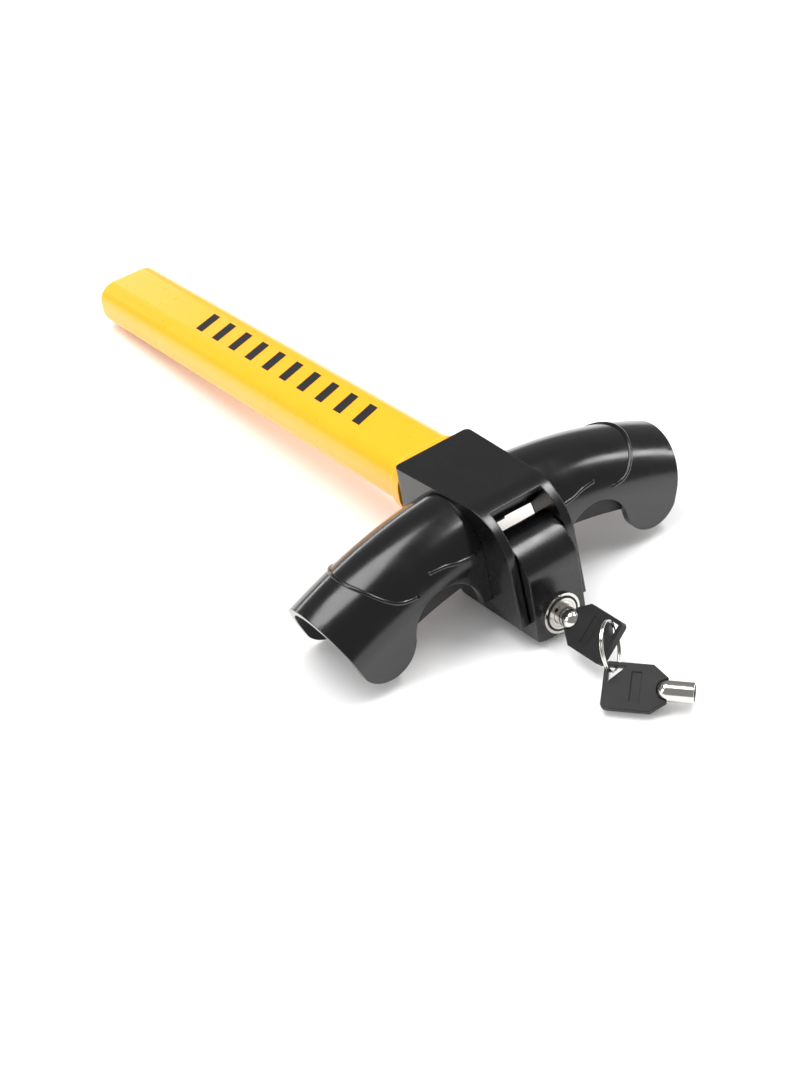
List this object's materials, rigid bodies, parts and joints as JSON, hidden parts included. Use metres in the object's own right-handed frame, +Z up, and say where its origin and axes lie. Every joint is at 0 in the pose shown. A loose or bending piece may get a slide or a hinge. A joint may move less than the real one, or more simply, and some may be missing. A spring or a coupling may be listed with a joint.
{
  "type": "steering wheel lock",
  "caption": "Steering wheel lock with a scalloped saddle over the rim, a hooked jaw with a tubular key lock, a long flat sleeved bar and keys on a split ring.",
  "frame": {"origin": "bottom centre of the whole object's box, on the surface it lies on", "axes": "+Y along the bar from the keys to the bar's tip, +X to the right along the saddle, +Z up; the bar slopes down towards its tip by 5.55 degrees"},
  "size_m": [0.2096, 0.4796, 0.0663],
  "materials": {
    "black_paint": "semi-gloss black paint on a zinc casting",
    "black_moulding": "semi-gloss black nylon moulding",
    "liner_rubber": "matt black rubber",
    "yellow_vinyl": "satin yellow vinyl",
    "dark_steel": "hardened steel, bare",
    "bright_nickel": "bright nickel plate",
    "key_plastic": "matt black moulded bow",
    "bronze_bush": "sintered bronze"
  },
  "bodies": {
    "frame": {"head_casting": "black_paint", "saddle_shell": "black_moulding", "saddle_liner": "liner_rubber", "bar_tube": "dark_steel", "bar_sleeve": "yellow_vinyl", "bar_end_plug": "black_moulding", "bar_roll_pins": "dark_steel", "pivot_pin": "dark_steel", "pivot_washers": "dark_steel"},
    "jaw": {"jaw_casting": "black_paint", "jaw_pad": "liner_rubber", "pivot_bush": "bronze_bush", "lock_housing": "bright_nickel", "lock_trim_ring": "bright_nickel", "lock_retaining_pin": "dark_steel"},
    "plug": {"lock_plug": "bright_nickel", "lock_cam": "dark_steel", "cam_screw": "dark_steel"},
    "bolt_l": {"bolt_left": "dark_steel"},
    "bolt_r": {"bolt_right": "dark_steel"},
    "key_1": {"key_1_tube": "bright_nickel", "key_1_bow": "key_plastic"},
    "ring": {"key_ring": "bright_nickel"},
    "key_2": {"key_2_tube": "bright_nickel", "key_2_bow": "key_plastic"}
  },
  "joints": [
    {"name": "jaw_swing", "type": "hinge", "parent": "frame", "child": "jaw", "pos_m": [0, -0.13585, 0.04598], "axis": [-1, 0, 0], "range_deg": [0, 95]},
    {"name": "plug_turn", "type": "hinge", "parent": "jaw", "child": "plug", "pos_m": [0, -0.16081, 0.01454], "axis": [0, -0.9953, 0.0967], "range_deg": [0, 90]},
    {"name": "bolt_left_slide", "type": "slide", "parent": "jaw", "child": "bolt_l", "axis": [-1, 0, 0], "range_m": [0, 0.0033]},
    {"name": "bolt_right_slide", "type": "slide", "parent": "jaw", "child": "bolt_r", "axis": [1, 0, 0], "range_m": [0, 0.0033]},
    {"name": "key_1_pull", "type": "slide", "parent": "plug", "child": "key_1", "axis": [0, -0.9953, 0.0967], "range_m": [0, 0.012]},
    {"name": "ring_turn", "type": "hinge", "parent": "key_1", "child": "ring", "pos_m": [-0.00389, -0.19876, 0.02158], "axis": [-0.5938, 0.7604, -0.2632], "range_deg": [-10, 20]},
    {"name": "key_2_slide", "type": "hinge", "parent": "ring", "child": "key_2", "pos_m": [-0.00389, -0.19876, 0.02158], "axis": [-0.5938, 0.7604, -0.2632], "range_deg": [-10, 30]}
  ],
  "couplings": [
    {"joint": "bolt_left_slide", "follows": "plug_turn", "m_per_rad": 0.0021006},
    {"joint": "bolt_right_slide", "follows": "plug_turn", "m_per_rad": 0.0021006}
  ]
}
